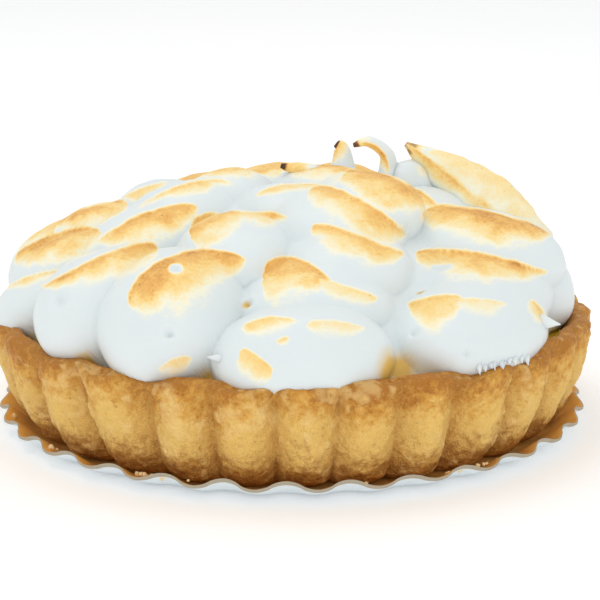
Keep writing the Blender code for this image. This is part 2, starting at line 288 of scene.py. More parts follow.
def respaced(line, count):
    """Give count points evenly spaced along a line of points."""
    steps = np.linalg.norm(np.diff(line, axis=0), axis=1)
    along = np.concatenate([[0], np.cumsum(steps)])
    wanted = np.linspace(0, along[-1], count)
    return np.stack([np.interp(wanted, along, line[:, axis]) for axis in range(line.shape[1])], -1)


def through(points, count):
    """A smooth path through points: cubic pieces whose slopes are half the step across."""
    points = np.array(points, float)
    slopes = np.gradient(points, axis=0)
    place = np.linspace(0, len(points) - 1, count)
    start = np.minimum(place.astype(int), len(points) - 2)
    t = (place - start)[:, None]
    ends = (2 * t**3 - 3 * t**2 + 1) * points[start] + (3 * t**2 - 2 * t**3) * points[start + 1]
    return ends + (t**3 - 2 * t**2 + t) * slopes[start] + (t**3 - t**2) * slopes[start + 1]


def round_faces(rows, columns, offset=0):
    """Faces of a round grid whose first and last rows are closed by one point each.

    The grid's points are numbered row by row, and the two closing points follow them.
    Rows run from the top down, so that the faces point outward.
    """
    number = np.arange(rows * columns).reshape(rows, columns) + offset
    following = np.roll(number, -1, axis=1)
    quads = np.stack([number[:-1], number[1:], following[1:], following[:-1]], -1).reshape(-1, 4)
    top = np.full(columns, rows * columns + offset)
    fans = [np.stack([top, number[0], following[0]], -1), np.stack([top + 1, following[-1], number[-1]], -1)]
    return quads.tolist() + np.vstack(fans).tolist()


def make_round(name, grids, **values):
    """Make an object from round grids in mm, of shape (rows, columns, 3), with vertex numbers."""
    points, faces, numbers = [], [], {key: [] for key in values}
    for index, grid in enumerate(grids):
        offset = sum(len(part) for part in points)
        ends = np.stack([grid[0].mean(0), grid[-1].mean(0)])
        points.append(np.vstack([grid.reshape(-1, 3), ends]))
        faces += round_faces(*grid.shape[:2], offset)
        for key, listed in values.items():
            value = listed[index]
            numbers[key].append(np.concatenate([value.ravel(), [value[0].mean(), value[-1].mean()]]))
    mesh = bpy.data.meshes.new(name)
    mesh.from_pydata((np.vstack(points) * MM).tolist(), [], faces)
    for key, parts in numbers.items():
        layer = mesh.attributes.new(key, "FLOAT", "POINT")
        layer.data.foreach_set("value", np.concatenate(parts).astype(np.float32))
    mesh.shade_smooth()
    piece = add_object(name, mesh)
    print(name, "triangles:", sum(len(face) - 2 for face in faces))
    return piece


def dress(piece, finish, node):
    """Give a piece its finish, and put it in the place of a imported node."""
    piece.data.materials.append(finish.material)
    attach(piece, "root")
    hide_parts(node)


# %% [markdown]
# ## The pastry shell
#
# Shortcrust is pressed into a fluted tin, so its wall is a row of round ribs with narrow
# grooves between them. It shrinks and slumps as it bakes, so no two ribs are alike and the
# brim rises and falls. A turned profile gives the wall, the brim and the base. The flutes are
# a function of the azimuth, deep outside and faint inside, and noise of several sizes gives
# the slump, the sandy surface and the crumbled places.

# %% The shell's driving sizes
SHELL_RADIUS = 50.4
SHELL_FOOT_RADIUS = 43.5
SHELL_BOTTOM = 0.8
SHELL_TOP = 18.2
SHELL_FLOOR = 4.8
WALL = 4.2
# Azimuths of the grooves that show from the front, which are uneven; the rest are spread evenly.
FRONT_GROOVES = (-68, -54.5, -40.5, -26.5, -14, -2.7, 8.2, 19.2, 31, 44, 56)
HIDDEN_FLUTES = 19
GROOVE_OUTSIDE = 3.0
GROOVE_INSIDE = 0.5
GROOVE_SHARPNESS = 0.75
GROOVE_FADE = 0.35
FADE_ZONE = 3.4
FADE_LENGTH = 3.0
WALL_BULGE = 1.8
BULGE_LOWNESS = 0.7
RIM_ZONE = 6.0
RIM_LUMPS = (
    (-70, 0.3, 6), (-50, -0.8, 6), (-36, -1.2, 4), (-25, -1.3, 5), (-10, -1.3, 5),
    (3, -0.7, 6), (18, -1.2, 3), (33, -1.5, 5), (47, -1.3, 6), (58, 0.6, 5),
)
HIDDEN_RIM_LUMPS = 12
LIP = 1.8
FOOT_BEVEL = 0.9
SHELL_COLUMNS = 760
INNER_ROWS, WALL_ROWS, BASE_ROWS = 16, 92, 6
# The strength in mm, the cell in mm and the seed of each unevenness of the shell.
GROOVE_WANDER = 0.7, 9, 3
GROOVE_CHANGE = 0.25, 9, 5
BRIM_WAVES = 0.35, 5, 11
SLUMP = 0.36, 6, 21
ROUGH_SLUMP = 0.24, 2.4, 31
GRAIN = 0.16, 0.9, 41
PITS = -0.4, 1.7, 51
TORN = 0.55, 1.5, 61
RAGGED_EDGES = 0.4, 1.3, 63
# The crumbled place in the brim: azimuth and height, then how far it reaches each way.
CRUMBLED = (17, 16), (3.2, 1.6)

model_random = random.Random(7)


def hidden_rim_lumps():
    """Lumps round the back of the brim: azimuth, lift in mm and half width in degrees."""
    lumps = []
    for azimuth in np.linspace(80, 280, HIDDEN_RIM_LUMPS):
        lift = model_random.uniform(-0.5, 0.9)
        lumps.append((azimuth + model_random.uniform(-6, 6), lift, model_random.uniform(4, 7)))
    return tuple(lumps)


LUMPS = RIM_LUMPS + hidden_rim_lumps()
HIDDEN_GROOVES = np.linspace(FRONT_GROOVES[-1], FRONT_GROOVES[0] + 360, HIDDEN_FLUTES + 1)[1:]
GROOVES = np.concatenate([FRONT_GROOVES, HIDDEN_GROOVES])


def wall_share(height):
    """0 at the shell's foot and 1 at its brim."""
    return np.clip((height - SHELL_BOTTOM) / (SHELL_TOP - SHELL_BOTTOM), 0.0, 1.0)


def inner_wall(height):
    """Radius of the shell's straight inner face at a height, before the flutes."""
    return SHELL_FOOT_RADIUS - WALL + (SHELL_RADIUS - SHELL_FOOT_RADIUS) * wall_share(height)


def outer_wall(height):
    """Radius of the outer face, which bulges between foot and brim: bulge times sin(pi share^low)."""
    return inner_wall(height) + WALL + WALL_BULGE * np.sin(np.pi * wall_share(height) ** BULGE_LOWNESS)


def rim_lift(azimuth):
    """Height of the uneven brim over its mean: a sum of bell-shaped lumps."""
    away = [(azimuth - place + 180) % 360 - 180 for place, _, _ in LUMPS]
    return sum(lift * bell(offset, width) for offset, (_, lift, width) in zip(away, LUMPS))


def groove(azimuth):
    """0 on a rib's crest and 1 in a groove: 1 - |sin|^sharpness of half a turn for each flute."""
    wrapped = (azimuth - GROOVES[0]) % 360 + GROOVES[0]
    turn = np.interp(wrapped, GROOVES, np.arange(len(GROOVES)))
    return 1 - np.abs(np.sin(np.pi * turn)) ** GROOVE_SHARPNESS


print("flutes:", len(GROOVES) - 1)


# %% Shape the pastry shell
def shell_profile():
    """Outline of the wall from the floor's middle over the brim to the base's middle."""
    inside = [
        (2, SHELL_FLOOR),
        (inner_wall(SHELL_FLOOR) - 1.6, SHELL_FLOOR),
        (inner_wall(SHELL_FLOOR + 0.8), SHELL_FLOOR + 0.8),
        (inner_wall(SHELL_TOP - LIP), SHELL_TOP - LIP),
    ]
    brim = [
        (inner_wall(SHELL_TOP - LIP), SHELL_TOP - LIP),
        (inner_wall(SHELL_TOP) + 0.16 * WALL, SHELL_TOP + 0.1 * LIP),
        (inner_wall(SHELL_TOP) + 0.5 * WALL, SHELL_TOP + 0.2 * LIP),
        (outer_wall(SHELL_TOP) - 0.1 * WALL, SHELL_TOP + 0.05 * LIP),
        (outer_wall(SHELL_TOP - 0.8 * LIP), SHELL_TOP - 0.8 * LIP),
        *((outer_wall(height), height) for height in (13.6, 10.6, 8.2, 6.0, 4.2, 2.8)),
        (outer_wall(SHELL_BOTTOM + FOOT_BEVEL), SHELL_BOTTOM + FOOT_BEVEL),
        (SHELL_FOOT_RADIUS - 0.7, SHELL_BOTTOM),
    ]
    base = [(SHELL_FOOT_RADIUS - 0.7, SHELL_BOTTOM), (2, SHELL_BOTTOM)]
    return np.vstack([
        respaced(rounded(inside), INNER_ROWS)[:-1],
        respaced(rounded(brim), WALL_ROWS),
        respaced(np.array(base, float), BASE_ROWS)[1:],
    ])


def uneven(points, noise, octaves=1):
    """Noise of a given strength, cell and seed, with finer octaves where more are asked for."""
    strength, cell, seed = noise
    return strength * rough_noise(points, cell, seed, octaves)


def shape_shell():
    """Turn the profile, press the flutes in, then let the noise slump and roughen it."""
    profile = shell_profile()
    azimuth = columns_round(SHELL_COLUMNS)
    radius, height = profile[:, :1], profile[:, 1:]
    round_place = polar(azimuth, SHELL_RADIUS + 0 * radius, height)
    inside = inner_wall(height)
    outside_share = smooth_step((radius - inside) / WALL)
    wander = uneven(round_place * [1, 1, 0.6], GROOVE_WANDER)
    depth = GROOVE_INSIDE + (GROOVE_OUTSIDE - GROOVE_INSIDE) * outside_share
    depth = depth * smooth_step(radius / inside) * (1 + uneven(round_place, GROOVE_CHANGE))
    depth = depth * (1 - GROOVE_FADE * smooth_step((height - SHELL_TOP + FADE_ZONE) / FADE_LENGTH))
    pressed = radius - depth * groove(azimuth + wander)
    lift_share = np.minimum(3 * outside_share, 1) * smooth_step(1 - (SHELL_TOP - height) / RIM_ZONE)
    rim_noise = uneven(round_place * [1, 1, 0], BRIM_WAVES)
    lifted = height + (rim_lift(azimuth) + rim_noise) * lift_share
    place = polar(azimuth, pressed, lifted)
    seen = smooth_step((outside_share - 0.02) / 0.2) * smooth_step((height - SHELL_BOTTOM) / 1.2)
    slump = uneven(place, SLUMP) + uneven(place, ROUGH_SLUMP, 3)
    grain = uneven(place, GRAIN, 2)
    deepest, cell, seed = PITS
    pit = deepest * smooth_step((soft_noise(place, cell, seed) - 0.55) / 0.3)
    (middle, level), (reach, drop) = CRUMBLED
    torn = bell(azimuth - middle, reach) * bell(height - level, drop) * (uneven(place, TORN, 3) - 0.2)
    flank = groove(azimuth + wander)
    ragged = bell(flank - 0.4, 0.22) * uneven(place, RAGGED_EDGES, 3)
    relief = seen * (slump + grain + pit + torn + ragged)
    return polar(azimuth, pressed + relief, lifted + 0.4 * seen * grain), relief, flank * seen


# The third value, how deep in a groove each point lies, is used by the finish to paint shade into the
# grooves.
shell_grid, shell_relief, shell_groove_shade = shape_shell()
print("shell grid:", shell_grid.shape)

# %% [markdown]
# Baked shortcrust is golden where the heat reached it: strongest on the brim and the upper
# ribs, brown along the foot, and a pale yellow on the middle of the wall, which the tin shaded.
# The foot is darkened further, and the grooves too, as painted shade: under the wall's bulge and
# down in the flutes. The height on the object drives this, broken up by noise, with fine dark
# and light specks of flour and caramelised butter.

# %% Finish of the baked pastry
def pastry_finish():
    """Golden shortcrust: colour from the height and noise, painted shade at the foot and in the grooves,
    sandy bump.
    """
    finish = Finish("baked_pastry", Roughness=0.62, Specular_IOR_Level=0.35)
    height = finish.node("ShaderNodeSeparateXYZ", {}, {0: finish.place()}, output="Z") / (SHELL_TOP * MM)
    cloud = finish.noise(9, 3.0)
    patch = finish.noise(3.2, 4.0, 0.65)
    crumb = finish.noise(1.2, 3.0, 0.7)
    sand = finish.noise(0.55, 2.0, 0.6)
    # Colour by height: browning on the brim and upper ribs; the dark brown at the foot is browning with
    # painted shade under the wall's bulge.
    bake_and_foot_shade = finish.ramp(
        height + (cloud - 0.5) * 0.5 + (patch - 0.5) * 0.5 + (crumb - 0.5) * 0.7,
        (0.0, (0.28, 0.11, 0.018)),
        (0.18, (0.46, 0.22, 0.042)),
        (0.40, (0.82, 0.52, 0.14)),
        (0.62, (0.88, 0.565, 0.15)),
        (0.82, (0.72, 0.355, 0.058)),
        (1.0, (0.49, 0.185, 0.018)),
    )
    # Painted shade: the grooves are darkened towards brown by how deep in a groove each point lies.
    browned = finish.mix(finish.attribute("groove") * 0.5, bake_and_foot_shade, (0.48, 0.23, 0.05))
    worn = finish.mix(finish.attribute("relief").between(0.1, 0.45) * 0.5, browned, (0.93, 0.64, 0.25))
    specked = finish.mix(sand.between(0.60, 0.78) * 0.4, worn, (0.93, 0.66, 0.28))
    dark = finish.noise(0.8, 2.0, 0.5)
    speckled = finish.mix(dark.between(0.66, 0.76) * 0.45, specked, (0.38, 0.16, 0.04))
    relief = sand * 0.5 + finish.noise(0.25, 2.0) * 0.3 + crumb * 0.9
    finish.paint(Base_Color=speckled, Normal=finish.bump(relief, 0.7, 1.0))
    return finish


pastry_shell = make_round("pastry_shell_baked", [shell_grid], groove=[shell_groove_shade], relief=[shell_relief])
dress(pastry_shell, pastry_finish(), "pastry_shell")

# %% [markdown]
# ## The lemon curd
#
# The curd is poured in and sets level, with a low bright edge where it clings to the pastry.
# Only slivers of it show between the mounds of meringue, and there the meringue next to them
# is painted its deep yellow, darkened as painted shade of the creases. It is a turned profile,
# with the shell's faint inner flutes.

# %% Shape and finish the lemon curd
CURD_TOP = 16.2
CURD_CLING = 0.5
CURD_RIPPLE = 0.06, 5, 71
CURD_COLUMNS = 360
GAP = 0.3


def shape_curd():
    """Turn the curd's outline: a level top that creeps up at its edge, then the wall and bottom."""
    bottom = SHELL_FLOOR + GAP
    profile = rounded([
        (1, CURD_TOP),
        (inner_wall(CURD_TOP) - 3, CURD_TOP),
        (inner_wall(CURD_TOP) - 0.9, CURD_TOP + 0.1 * CURD_CLING),
        (inner_wall(CURD_TOP) - 0.1, CURD_TOP + CURD_CLING),
        (inner_wall(CURD_TOP - 1) - GAP, CURD_TOP - 1),
        (inner_wall(bottom + 1) - GAP, bottom + 1),
        (inner_wall(bottom) - 1.5 - GAP, bottom),
        (1, bottom),
    ])
    azimuth = columns_round(CURD_COLUMNS)
    radius, height = profile[:, :1], profile[:, 1:]
    waved = radius - GROOVE_INSIDE * groove(azimuth) * smooth_step(radius / inner_wall(height))
    place = polar(azimuth, waved, height)
    return place + uneven(place, CURD_RIPPLE)[..., None] * [0, 0, 1]


def curd_finish():
    """Glossy, slightly clear yellow, a little deeper in patches."""
    finish = Finish(
        "set_lemon_curd", Roughness=0.22, Subsurface_Weight=0.35, Subsurface_Scale=2 * MM,
        Subsurface_Radius=(1.0, 0.6, 0.1), Coat_Weight=0.3, Coat_Roughness=0.12,
    )
    colour = finish.ramp(finish.noise(6), (0.3, (0.80, 0.50, 0.03)), (0.7, (0.93, 0.68, 0.08)))
    finish.paint(Base_Color=colour, Normal=finish.bump(finish.noise(1.6), 0.05, 0.5))
    return finish


curd = make_round("lemon_curd_set", [shape_curd()])
dress(curd, curd_finish(), "lemon_curd")

# %% [markdown]
# ## The meringue
#
# The meringue is piped in soft fingers that point to the middle, row above row. Each finger is
# close to an egg, and together they are a dome with deep creases. Seen from a point under the
# tart, every ray leaves the meringue once only, so its whole surface is one function: the
# distance along a ray at an azimuth and an elevation. For each egg that distance is the larger
# root of a quadratic, and a soft maximum of all of them fuses the fingers with smooth creases.

# %% The fingers' sizes
# The core dome: azimuth, distance out, height of its middle, its three radii and its tilt.
CORE = (0.0, 0.0, 6.0, 45.5, 45.5, 33.0, 0.0)
DOME_TOP = 37.8
DOME_DROP = 0.0105

# Azimuth, distance out, half length, half width, half height, lift over the dome, tilt outward,
# in degrees and millimetres.
MOUNDS = (
    (-75, 39.0, 10.5, 10.0, 6.5, -0.8, 16),
    (-49, 38.5, 11.5, 9.8, 9.2, 1.2, 20),
    (-28, 37.0, 13.0, 11.3, 10.2, 0.3, 22),
    (2.5, 40.5, 9.0, 13.3, 8.2, -0.8, 10),
    (44.5, 38.8, 10.3, 15.4, 8.2, -1.4, 12),
    (80, 38.0, 9.5, 11.0, 7.5, -0.4, 20),
    (-80, 36.5, 10.5, 9.0, 6.3, 1.3, 18),
    (-98, 33.5, 10.0, 9.0, 7.0, 1.6, 20),
    (6, 31.0, 10.0, 12.5, 6.3, -1.8, 14),
    (58, 36.3, 9.5, 15.0, 7.0, -0.2, 12),
    (72, 32.0, 14.0, 11.0, 7.0, 2.2, 10),
    (-58, 27.5, 10.5, 9.0, 6.3, 1.4, 16),
    (-20, 25.3, 10.0, 9.2, 6.0, 0.9, 12),
    (19, 26.0, 9.5, 10.5, 6.0, -0.9, 12),
    (-110, 24.0, 8.5, 8.0, 6.0, 0.4, 12),
    (-66, 19.5, 10.0, 9.0, 5.8, 0.6, 12),
    (26, 17.5, 11.0, 11.0, 6.3, -0.1, 14),
    (45, 17.5, 9.5, 9.0, 5.4, 2.8, 6),
    (0, 11.0, 8.0, 9.0, 5.0, -0.8, 6),
    (-80, 11.0, 8.5, 9.0, 5.5, -0.4, 6),
    (60, 7.0, 10.5, 8.0, 5.0, 0.5, 0),
)
# How many, first and last azimuth, distance out, the same five sizes, how strongly browned.
BACK_ROWS = (
    (7, 105, 259, 38.0, 11.0, 11.0, 8.8, 0.2, 18, 0.5),
    (6, 98, 236, 31.5, 10.5, 11.0, 6.8, 0.2, 16, 0.75),
    (5, 84, 224, 22.5, 10.0, 10.0, 6.2, -0.4, 12, 0.8),
    (2, 130, 200, 11.0, 9.0, 9.5, 5.2, -1.4, 6, 0.7),
)
# Each finger round the back differs from its row by up to a share, and by up to an angle.
BACK_CHANGE = 0.06
BACK_SHIFT = 3.0


def back_mounds():
    """Fingers round the back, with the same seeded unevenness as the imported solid."""
    listed = []
    for count, first, last, out, length, width, thick, lift, tilt, browned in BACK_ROWS:
        for azimuth in np.linspace(first, last, count):
            sizes = (length, width, thick)
            changed = [size * model_random.uniform(1 - BACK_CHANGE, 1 + BACK_CHANGE) for size in sizes]
            place = azimuth + model_random.uniform(-BACK_SHIFT, BACK_SHIFT)
            listed.append((place, out, *changed, lift, tilt, browned))
    return tuple(listed)


BACK_MOUNDS = back_mounds()
print("fingers of meringue:", len(MOUNDS) + len(BACK_MOUNDS))


# %% One distance for every ray
def egg_frame(azimuth, out, height, length, width, thick, tilt):
    """Middle of an egg in mm, and the matrix that takes an offset to the egg's unit sphere."""
    turn, lean = math.radians(azimuth - 90), math.radians(tilt)
    around = np.array([[math.cos(turn), -math.sin(turn), 0], [math.sin(turn), math.cos(turn), 0], [0, 0, 1]])
    down = np.array([[math.cos(lean), 0, math.sin(lean)], [0, 1, 0], [-math.sin(lean), 0, math.cos(lean)]])
    return polar(azimuth, out, height), (around @ down).T / np.array([[length], [width], [thick]])


def far_side(start, ways, middle, to_unit):
    """Distance at which rays leave an egg: the larger root of |start + t way|^2 = 1 in its frame."""
    origin = to_unit @ (start - middle)
    heading = ways @ to_unit.T
    square = (heading**2).sum(-1)
    half = heading @ origin
    inner = half**2 - square * (origin @ origin - 1)
    return np.where(inner > 0, (-half + np.sqrt(np.maximum(inner, 0))) / square, 0.0)


def finger(azimuth, out, length, width, thick, lift, tilt, *_):
    """A finger's egg, with its middle on the dome: a parabola in the distance out, plus a lift."""
    return egg_frame(azimuth, out, DOME_TOP - DOME_DROP * out * out + lift, length, width, thick, tilt)


EGGS = [egg_frame(*CORE)] + [finger(*mound) for mound in MOUNDS + BACK_MOUNDS]
EYE = np.array([0.0, 0.0, -20.0])
SOFTNESS = 0.32
# How far the rays drift from their ways, the cell of that drift, and its seeds on X, Y and Z.
DRIFT, DRIFT_CELL, DRIFT_SEEDS = 0.008, 0.16, (81, 82, 83)


def leave_meringue(azimuth, elevation):
    """Soft maximum of the eggs' distances along each ray, and each egg's share in it."""
    flat = np.cos(np.radians(elevation))
    ways = polar(azimuth, flat, np.sin(np.radians(elevation)))
    drift = np.stack([soft_noise(ways, DRIFT_CELL, seed) for seed in DRIFT_SEEDS], -1)
    bent = ways + DRIFT * drift
    distances = np.stack([far_side(EYE, bent, *egg) for egg in EGGS])
    top = distances.max(0)
    powers = np.exp((distances - top) / SOFTNESS)
    total = powers.sum(0)
    return ways, top + SOFTNESS * np.log(total), powers / total


print("eggs in the soft maximum:", len(EGGS))

# %% [markdown]
# The rays start where the meringue meets its bed, which is the curd in the middle and the
# brim of the shell outside. The bed's edge is found once per azimuth on a dense set of rays,
# and the grid's rows are then spread between that edge and the top.

# %% Spread the grid over the meringue
MERINGUE_COLUMNS = 470
MERINGUE_ROWS = 208
MERINGUE_CROWDING = 0.4
ROW_SPREAD = 0.8
BRIM_BED = 18.35
BRIM_BED_LIFT = 0.3
BRIM_BEGINS, BRIM_BLEND = 44.6, 2.2
TOP_RAY = 89.6
LOW_RAYS = 30, 62, 330


def bed_height(place):
    """Height in mm on which the meringue rests: curd inside, the uneven brim outside."""
    curd = CURD_TOP + 0.1
    brim = BRIM_BED + np.minimum(rim_lift(azimuth_of(place)), BRIM_BED_LIFT)
    out = np.hypot(place[..., 0], place[..., 1])
    return curd + (brim - curd) * smooth_step((out - BRIM_BEGINS) / BRIM_BLEND)


def lowest_rays(azimuth):
    """Lowest elevation at each azimuth whose ray leaves the meringue above its bed."""
    elevation = np.linspace(*LOW_RAYS)[:, None]
    ways, distance, _ = leave_meringue(azimuth, elevation)
    place = EYE + ways * distance[..., None]
    under = place[..., 2] < bed_height(place)
    last = under.shape[0] - 1 - np.argmax(under[::-1], axis=0)
    return elevation[np.minimum(last + 1, len(elevation) - 1), 0]


columns = columns_round(MERINGUE_COLUMNS, MERINGUE_CROWDING)
lowest = lowest_rays(columns)[None, :]
row_share = np.linspace(0, 1, MERINGUE_ROWS)[:, None]
elevation = TOP_RAY - (TOP_RAY - lowest) * row_share**ROW_SPREAD
ways, distance, shares = leave_meringue(columns + 0 * row_share, elevation)
dome = EYE + ways * distance[..., None]
print("meringue grid:", dome.shape, "lowest ray", round(float(lowest.min()), 1))

# %% [markdown]
# ### Where the flame browned it
#
# A cook's torch browns what stands up. On each finger it leaves a lens-shaped mark with a
# crisp edge at the back, where the next finger shades it, and a speckled fade down its front.
# The marks that show are given by four places in the photograph: both ends of the mark, and its
# farthest places above and below the straight line between them. A point of the surface is
# brown where it falls between the two curved edges in the picture, if it faces the camera.

# %% What the camera sees of a grid, and the marks' places
# A pixel's point of the surface is looked for this many pixels round it.
PIXEL_REACH = 2.5
BEHIND = 1000.0


def seen_by_camera(grid, outward):
    """Picture x, y and depth of a grid's points, and how much each faces the camera: -1 to 1."""
    around = np.roll(grid, -1, axis=1) - np.roll(grid, 1, axis=1)
    normal = np.cross(np.gradient(grid, axis=0), around)
    normal *= np.sign((normal * outward).sum(-1, keepdims=True))
    toward = CAMERA_PLACE - grid
    scale = np.linalg.norm(normal, axis=-1) * np.linalg.norm(toward, axis=-1)
    return *in_picture(grid), (normal * toward).sum(-1) / np.maximum(scale, 1e-9)


def shown_at(x, y, grid, view):
    """Place in mm of the grid's point that shows at a pixel: the nearest one to the camera there."""
    away = np.hypot(view[0] - x, view[1] - y)
    nearest = np.argmin(np.where(away < PIXEL_REACH, view[2] - BEHIND, away))
    return grid.reshape(-1, 3)[nearest]


# Left, top, right and lowest place in pixels; then how deep the brown is, from 0 to 1.
FLAME_MARKS = {
    "far_left_band": ((0, 290), (36, 273), (64, 270), (30, 283), 0.45),
    "left_front": ((41, 286), (124, 246), (158, 250), (110, 275), 0.8),
    "left_middle": ((1, 261), (62, 230), (101, 233), (66, 256), 0.8),
    "left_upper": ((38, 228), (88, 205), (127, 202), (101, 221), 0.8),
    "left_back": ((124, 197), (144, 186), (167, 181), (147, 195), 0.5),
    "front_big": ((127, 302), (172, 255), (246, 260), (172, 303), 0.8),
    "second_row_left": ((95, 242), (152, 209), (197, 206), (163, 233), 0.75),
    "second_row_middle": ((191, 238), (204, 212), (246, 214), (210, 240), 0.7),
    "second_row_band": ((225, 214), (256, 211), (287, 217), (268, 222), 0.6),
    "third_row_left": ((137, 209), (187, 182), (233, 185), (178, 194), 0.6),
    "fourth_row_left": ((188, 180), (239, 163), (277, 175), (228, 175), 0.75),
    "centre_thin": ((256, 194), (289, 183), (322, 185), (292, 191), 0.5),
    "centre_front": ((262, 282), (284, 255), (335, 282), (281, 293), 0.75),
    "centre_front_fade": ((312, 276), (340, 281), (378, 299), (345, 299), 0.25),
    "centre_second": ((311, 231), (333, 226), (405, 252), (366, 259), 0.65),
    "centre_third": ((307, 196), (338, 187), (409, 233), (372, 234), 0.65),
    "top_band": ((281, 168), (326, 161), (354, 168), (325, 177), 0.8),
    "top_right": ((341, 178), (378, 169), (437, 204), (396, 207), 0.8),
    "right_upper": ((422, 219), (452, 204), (552, 230), (508, 241), 0.85),
    "right_second": ((415, 255), (462, 249), (547, 272), (478, 275), 0.8),
    "right_front": ((407, 303), (444, 293), (462, 298), (434, 324), 0.6),
    "right_front_fade": ((455, 300), (480, 297), (508, 303), (480, 312), 0.2),
    "right_corner": ((532, 299), (544, 313), (541, 324), (531, 309), 0.6),
    "low_front_streak": ((242, 328), (268, 316), (297, 321), (262, 331), 0.45),
    "low_front_spot": ((237, 360), (246, 348), (274, 369), (262, 381), 0.42),
    "low_left_spot": ((157, 369), (176, 357), (192, 358), (174, 372), 0.35),
    "low_middle_dab": ((276, 341), (283, 337), (289, 337), (283, 342), 0.4),
    "middle_speckle": ((306, 325), (330, 319), (366, 327), (335, 335), 0.12),
}
# Widths in pixels: the crisp upper edge, and the soft lower one with its share of the mark.
CRISP_EDGE = 2.3
SOFT_EDGE, SOFT_SHARE = 3.5, 0.6
# How far each edge lies outside its line, and how far the noise moves it.
CRISP_START, CRISP_WANDER = 0.5, 1.1
SOFT_START, SOFT_WANDER = 0.38, 0.26
# The noise's strength, its cell in mm and its seed, for the marks in front and round the back.
WANDER, BACK_WANDER = (1, 3.0, 91), (1, 3.0, 95)
EDGE_ROUNDNESS = 1.25
# Where a lens may be fullest, from 0 to 1 along it.
FULLEST = 0.12, 0.88
# How far a mark reaches round the silhouette, and how surely it ends there.
REACH_AROUND, REACH_FADE, NOT_BROWN = -0.02, 0.3, 6.0
# Brownness of plain white foam, and the most that a mark can have.
WHITE, BROWNEST = -1.5, 2.5
# A mark stays on its own finger: pixels per mm there, and over how many pixels it ends.
NEAR_SCALE, NEAR_FADE = 6.0, 40.0


def lens_edge(s, height, fullest):
    """Distance of a lens's edge from its long line: it is 0 at both ends and fullest at one place.

    The height times (s / f)^(k f) times ((1 - s) / (1 - f))^(k (1 - f)), which peaks at s = f.
    """
    fullest = np.clip(fullest, *FULLEST)
    rise = (s / fullest) ** (EDGE_ROUNDNESS * fullest)
    return height * rise * ((1 - s) / (1 - fullest)) ** (EDGE_ROUNDNESS * (1 - fullest))


def flame_mark(place, view, left, top, right, lowest, depth, middle=None):
    """One mark: its strength at each point, over 0 inside, and how deep its brown is there.

    The long line runs from the left place to the right one. Above and below it lie the edges,
    the upper one crisp and the lower one soft, each moved about by noise.
    """
    x, y, _, facing = view
    start, line = np.array(left, float), np.subtract(right, left).astype(float)
    length = np.hypot(*line)
    line /= length
    down = np.array([-line[1], line[0]])
    along = ((x - start[0]) * line[0] + (y - start[1]) * line[1]) / length
    below = (x - start[0]) * down[0] + (y - start[1]) * down[1]
    top, lowest = np.subtract(top, start), np.subtract(lowest, start)
    s = np.clip(along, 0.0, 1.0)
    upper = lens_edge(s, top @ down, top @ line / length)
    lower = lens_edge(s, lowest @ down, lowest @ line / length)
    wander = uneven(place, WANDER, 3)
    soft = SOFT_EDGE + SOFT_SHARE * np.maximum(lower - upper, 0)
    back_edge = (below - upper + CRISP_START + CRISP_WANDER * wander) / CRISP_EDGE
    front_edge = (lower - below + soft * (SOFT_START + SOFT_WANDER * wander)) / soft
    past = np.abs(along - s) * length / CRISP_EDGE
    hidden = NOT_BROWN * smooth_step((REACH_AROUND - facing) / REACH_FADE)
    value = np.minimum(back_edge, front_edge) - past - hidden
    if middle is not None:
        away = np.linalg.norm(place - middle, axis=-1) * NEAR_SCALE
        value = value - NOT_BROWN * smooth_step((away - length) / NEAR_FADE)
    inward = np.maximum(below - upper, 0) / (0.25 * np.maximum(lower - upper, 0) + 3)
    return value, depth * (0.78 + 0.35 * np.exp(-inward) + 0.15 * wander)


# The finger that peeps out between the tall peak and the front ones stays white.
BROWN_BACK_FROM = 92
# On an egg of height 1: where the brown begins, and over how much of the height it deepens.
BROWN_BEGINS, BROWN_DEEPENS = 0.66, 0.16


def brown_back(place):
    """Marks of the fingers round the back: near each egg's top, roughened, towards its front."""
    wander = uneven(place, BACK_WANDER, 3)
    value = np.full(place.shape[:-1], -2.0)
    dark = np.zeros(place.shape[:-1])
    for egg, mound, owned in zip(EGGS[-len(BACK_MOUNDS):], BACK_MOUNDS, shares[-len(BACK_MOUNDS):]):
        local = (place - egg[0]) @ egg[1].T
        here = (local[..., 2] - BROWN_BEGINS + 0.12 * wander) / BROWN_DEEPENS
        inside = np.where((owned > 0.3) & (mound[0] > BROWN_BACK_FROM), here, -2.0)
        dark = np.where(inside > value, mound[-1] * (0.9 + 0.2 * wander), dark)
        value = np.maximum(value, inside)
    return value, dark


def flame():
    """The strongest mark at each point, and how deep its brown is."""
    value, dark = brown_back(dome)
    for left, top, right, lowest, depth in FLAME_MARKS.values():
        inside = shown_at((top[0] + lowest[0]) / 2, (top[1] + lowest[1]) / 2, dome, dome_view)
        mark, deep = flame_mark(dome, dome_view, left, top, right, lowest, depth, inside)
        dark = np.where(mark > value, deep, dark)
        value = np.maximum(value, mark)
    return np.clip(value, WHITE, BROWNEST), dark


dome_view = seen_by_camera(dome, ways)
toast, char = flame()
print("browned share:", round(float((toast > 0.3).mean()), 2))

# %% [markdown]
# Burst bubbles leave small dents, one of them a ring, and the nozzle has left faint streaks.
# These and a low unevenness move the surface along its rays.

